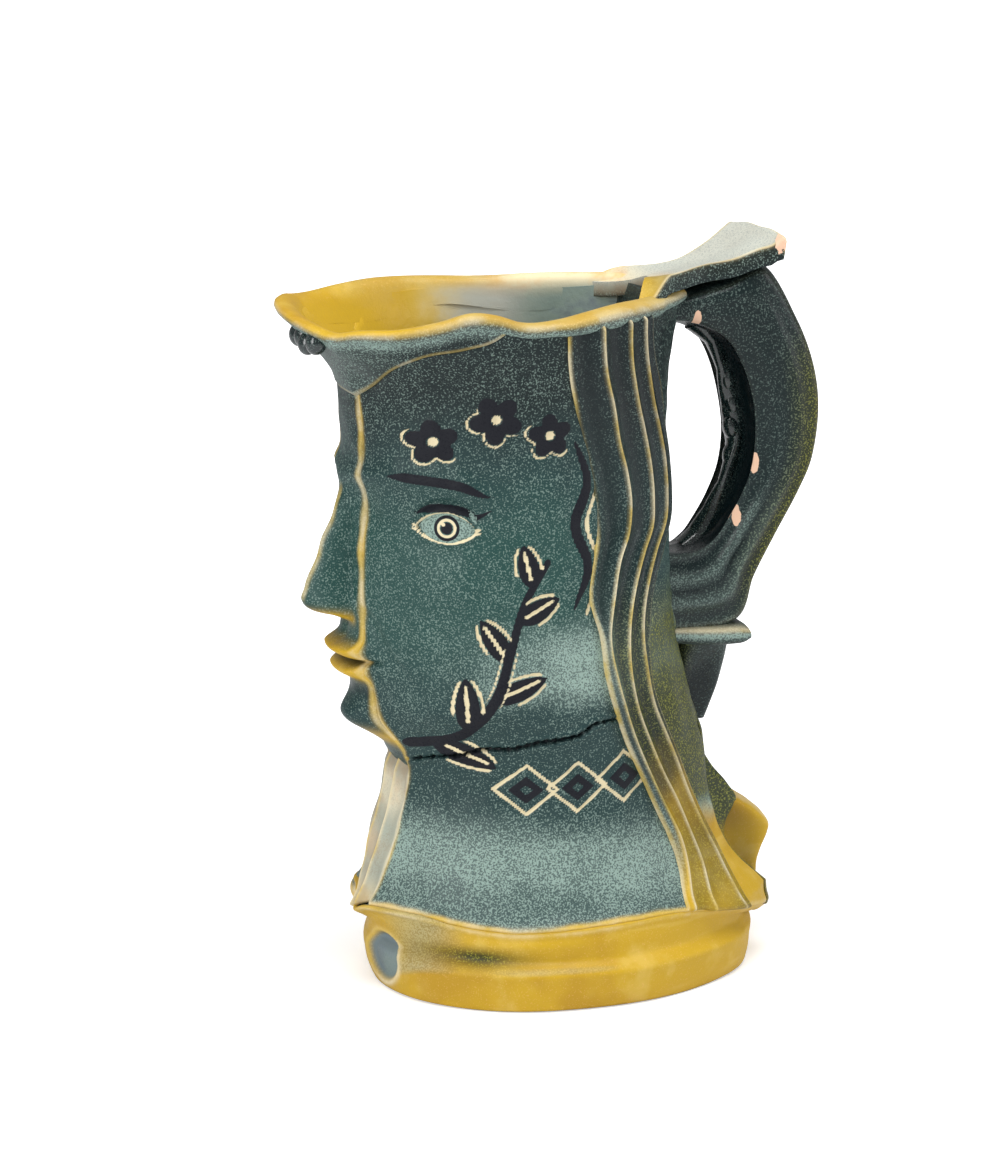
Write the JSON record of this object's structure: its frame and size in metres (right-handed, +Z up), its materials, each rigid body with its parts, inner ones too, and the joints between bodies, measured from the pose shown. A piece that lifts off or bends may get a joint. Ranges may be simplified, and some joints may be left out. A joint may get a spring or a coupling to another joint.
{
  "type": "character jug",
  "caption": "Slab-built glazed stoneware jug shaped as a head in profile, with a flared pouring spout, fluted hair, a strap handle with thumb rest and a round foot.",
  "frame": {"origin": "centre of the foot's resting face, on the table", "axes": "+Z up, -X towards the face and the spout, +X towards the nape and the handle, -Y towards the jug's left side"},
  "size_m": [0.2116, 0.1288, 0.282],
  "materials": {
    "wall_glaze": "glossy, teal to charcoal, crystalline speckle",
    "cream_glaze": "glossy, cream to pale grey",
    "foot_glaze": "glossy, ochre yellow with grey streaks",
    "face_glaze": "glossy, charcoal with ochre on the cut facets",
    "lip_glaze": "glossy, ochre",
    "eye_glaze": "glossy, cream with a dark iris",
    "hair_glaze": "glossy, charcoal with ochre arrises",
    "handle_glaze": "glossy, charcoal with teal speckle",
    "nape_glaze": "glossy, olive brown",
    "drip_glaze": "glossy, near black"
  },
  "bodies": {
    "root": {"floor_disc": "foot_glaze", "foot_band": "foot_glaze", "left_wall": "wall_glaze", "right_wall": "wall_glaze", "neck_front": "cream_glaze", "face_plate": "face_glaze", "nape_wall": "nape_glaze", "spout_collar": "wall_glaze", "rim_band": "cream_glaze", "left_hair": "hair_glaze", "right_hair": "hair_glaze", "brow_ridge": "face_glaze", "nose": "face_glaze", "upper_lip": "lip_glaze", "lower_lip": "lip_glaze", "chin": "face_glaze", "left_eye": "eye_glaze", "right_eye": "eye_glaze", "thumb_rest": "cream_glaze", "handle_strap": "handle_glaze", "handle_ridge": "handle_glaze", "handle_roll": "handle_glaze", "handle_fin": "handle_glaze", "tail_spur": "foot_glaze", "spout_drips": "drip_glaze"}
  },
  "joints": []
}
